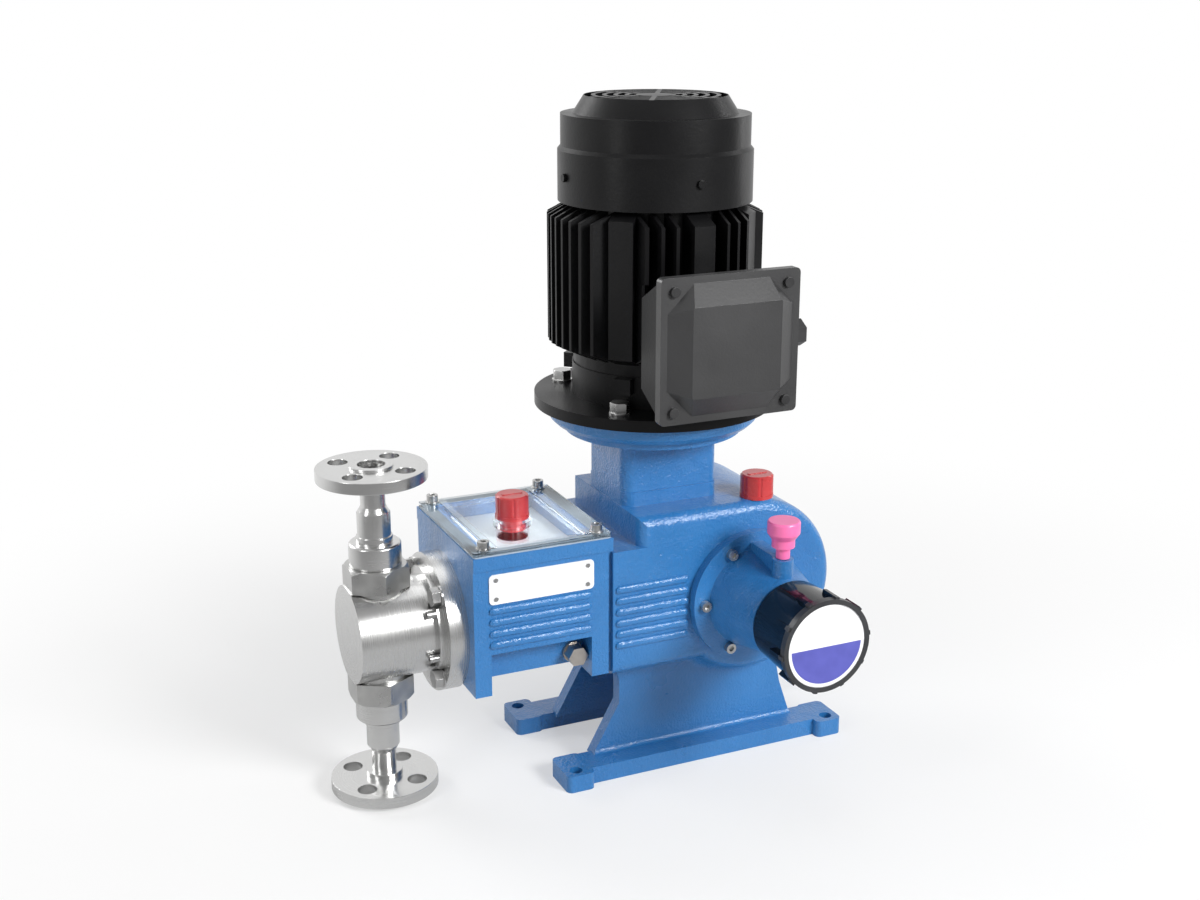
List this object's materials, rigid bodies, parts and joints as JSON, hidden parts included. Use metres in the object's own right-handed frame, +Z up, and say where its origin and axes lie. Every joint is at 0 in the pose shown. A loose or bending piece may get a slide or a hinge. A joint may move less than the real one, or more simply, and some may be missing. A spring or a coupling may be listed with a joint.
{
  "type": "plunger metering pump",
  "caption": "Motor-driven plunger metering pump on a pedestal, with ball valves, flanged pipe ends, a stroke dial and a clear chamber lid.",
  "frame": {"origin": "middle of the four base holes, on the floor under the rails", "axes": "+Z up along the motor, X along the plunger with the pump head toward -X, -Y toward the dial side"},
  "size_m": [0.4457, 0.292, 0.561],
  "materials": {
    "blue_enamel": "gloss enamel over a cast skin",
    "black_enamel": "semi-gloss enamel",
    "polished_steel": "turned and polished",
    "fastener_steel": "zinc plated",
    "machined_steel": "machined and oiled",
    "bronze": "machined",
    "ball_ceramic": "polished",
    "packing": "braided",
    "bright_sheet": "galvanised",
    "clear_plastic": "polished",
    "gasket_rubber": "smooth",
    "red_plastic": "moulded",
    "pink_plastic": "moulded",
    "black_plastic": "moulded",
    "dial_white": "printed",
    "plate_white": "painted",
    "plug_brown": "oxidised",
    "stator_iron": "varnished"
  },
  "bodies": {
    "pump": {"gear_housing": "blue_enamel", "back_cover": "blue_enamel", "back_cover_screws": "fastener_steel", "plunger_chamber": "blue_enamel", "chamber_screws": "fastener_steel", "splash_plate": "bright_sheet", "lid_gasket": "gasket_rubber", "chamber_lid": "clear_plastic", "lid_screws": "fastener_steel", "name_plate": "plate_white", "plate_rivets": "fastener_steel", "drain_plugs": "plug_brown", "pump_head": "polished_steel", "head_bolts": "fastener_steel", "vent_screws": "fastener_steel", "packing_rings": "packing", "lantern_ring": "bronze", "packing_gland": "polished_steel", "gland_screws": "fastener_steel", "suction_nut": "polished_steel", "suction_pipe": "polished_steel", "discharge_nut": "polished_steel", "discharge_pipe": "polished_steel", "valve_seats": "polished_steel", "valve_cages": "polished_steel", "guide_bush": "bronze", "adjuster_housing": "blue_enamel", "adjuster_screws": "fastener_steel", "bearings": "machined_steel", "motor_shield": "black_enamel", "flange_bolts": "fastener_steel", "motor_frame": "black_enamel", "stator": "stator_iron", "fan_cowl": "black_enamel", "cowl_screws": "black_enamel", "terminal_box": "black_enamel", "terminal_cover": "black_enamel", "terminal_screws": "black_plastic", "cable_gland": "black_plastic"},
    "rotor": {"motor_rotor": "machined_steel", "cooling_fan": "black_plastic", "coupling": "machined_steel", "worm_shaft": "machined_steel"},
    "wheel": {"worm_wheel": "bronze", "eccentric_shaft": "machined_steel"},
    "plunger_unit": {"plunger": "polished_steel", "plunger_nut": "polished_steel", "crosshead": "machined_steel"},
    "rod": {"connecting_rod": "machined_steel", "crosshead_pin": "machined_steel", "stroke_rings": "bronze"},
    "dial": {"adjust_knob": "black_plastic", "dial_plate": "dial_white"},
    "spindle": {"adjust_spindle": "machined_steel"},
    "lock": {"lock_screw": "pink_plastic"},
    "suction_valve_ball": {"suction_ball": "ball_ceramic"},
    "discharge_valve_ball": {"discharge_ball": "ball_ceramic"},
    "chamber_cap": {"lid_cap": "red_plastic"},
    "filler_cap": {"oil_cap": "red_plastic"}
  },
  "joints": [
    {"name": "rotor_spin", "type": "hinge", "parent": "pump", "child": "rotor", "pos_m": [-0.021, 0, 0.4], "axis": [0, 0, 1], "continuous": true},
    {"name": "wheel_spin", "type": "hinge", "parent": "pump", "child": "wheel", "pos_m": [0.0382, 0, 0.1495], "axis": [0, 1, 0], "continuous": true},
    {"name": "plunger_slide", "type": "slide", "parent": "pump", "child": "plunger_unit", "axis": [1, 0, 0], "range_m": [-0.008, 0.008]},
    {"name": "rod_swing", "type": "hinge", "parent": "plunger_unit", "child": "rod", "pos_m": [-0.052, 0, 0.143], "axis": [0, 1, 0], "range_deg": [-5.1, 5.1]},
    {"name": "dial_turn", "type": "hinge", "parent": "pump", "child": "dial", "pos_m": [0.0382, -0.16, 0.1495], "axis": [0, 1, 0], "range_deg": [0, 1800]},
    {"name": "spindle_slide", "type": "slide", "parent": "pump", "child": "spindle", "axis": [0, 1, 0], "range_m": [0, 0.02]},
    {"name": "lock_turn", "type": "hinge", "parent": "pump", "child": "lock", "pos_m": [0.0382, -0.121, 0.2], "axis": [0, 0, 1], "range_deg": [0, 360]},
    {"name": "suction_lift", "type": "slide", "parent": "pump", "child": "suction_valve_ball", "axis": [0, 0, 1], "range_m": [0, 0.003]},
    {"name": "discharge_lift", "type": "slide", "parent": "pump", "child": "discharge_valve_ball", "axis": [0, 0, 1], "range_m": [0, 0.003]},
    {"name": "chamber_cap_turn", "type": "hinge", "parent": "pump", "child": "chamber_cap", "pos_m": [-0.15, 0, 0.23], "axis": [0, 0, 1], "range_deg": [0, 360]},
    {"name": "filler_cap_turn", "type": "hinge", "parent": "pump", "child": "filler_cap", "pos_m": [0.051, -0.054, 0.24], "axis": [0, 0, 1], "range_deg": [0, 360]}
  ],
  "couplings": [
    {"joint": "wheel_spin", "follows": "rotor_spin", "ratio": -0.052632},
    {"joint": "spindle_slide", "follows": "dial_turn", "m_per_rad": 0.00063662}
  ]
}
